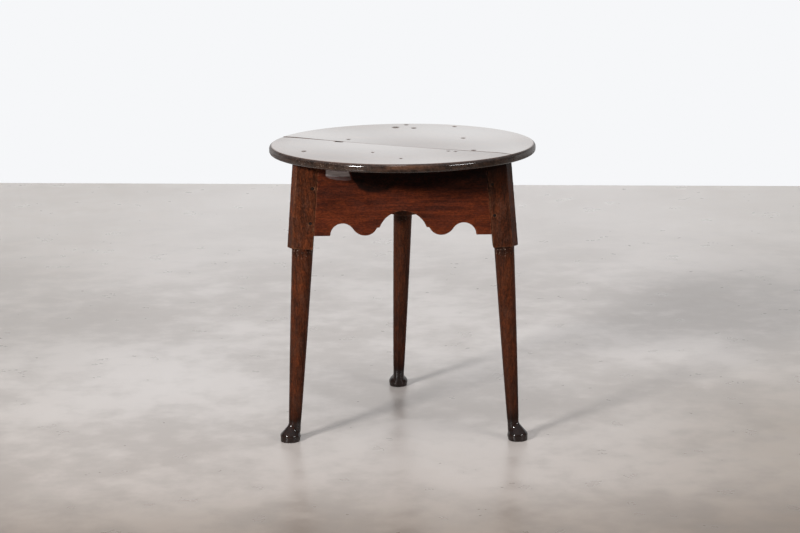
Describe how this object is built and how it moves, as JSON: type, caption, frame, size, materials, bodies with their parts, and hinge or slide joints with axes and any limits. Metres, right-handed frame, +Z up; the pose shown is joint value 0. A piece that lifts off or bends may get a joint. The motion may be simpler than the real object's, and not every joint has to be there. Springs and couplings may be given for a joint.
{
  "type": "cricket table",
  "caption": "Round country side table: a two-board top on three splayed, turned pad-foot legs joined by shaped friezes with pegged tenons.",
  "frame": {"origin": "on the floor, under the middle of the table's whole outline; the middle of the round top lies 10.0 mm towards the front of it", "axes": "+Z up, the front frieze faces -Y, +X to the right of someone facing the front"},
  "size_m": [0.6439, 0.664, 0.7],
  "materials": {
    "top_wood": "old dark oak, waxed to a gloss",
    "frieze_wood": "reddish brown oak, worn wax",
    "leg_wood": "dark brown oak, almost black and glossy on the feet",
    "peg_wood": "dark end grain, waxed over"
  },
  "bodies": {
    "root": {"top_front_board": "top_wood", "top_back_board": "top_wood", "front_frieze": "frieze_wood", "right_frieze": "frieze_wood", "left_frieze": "frieze_wood", "left_leg": "leg_wood", "right_leg": "leg_wood", "back_leg": "leg_wood", "left_leg_pegs": "peg_wood", "right_leg_pegs": "peg_wood", "back_leg_pegs": "peg_wood", "top_pegs": "peg_wood"}
  },
  "joints": []
}
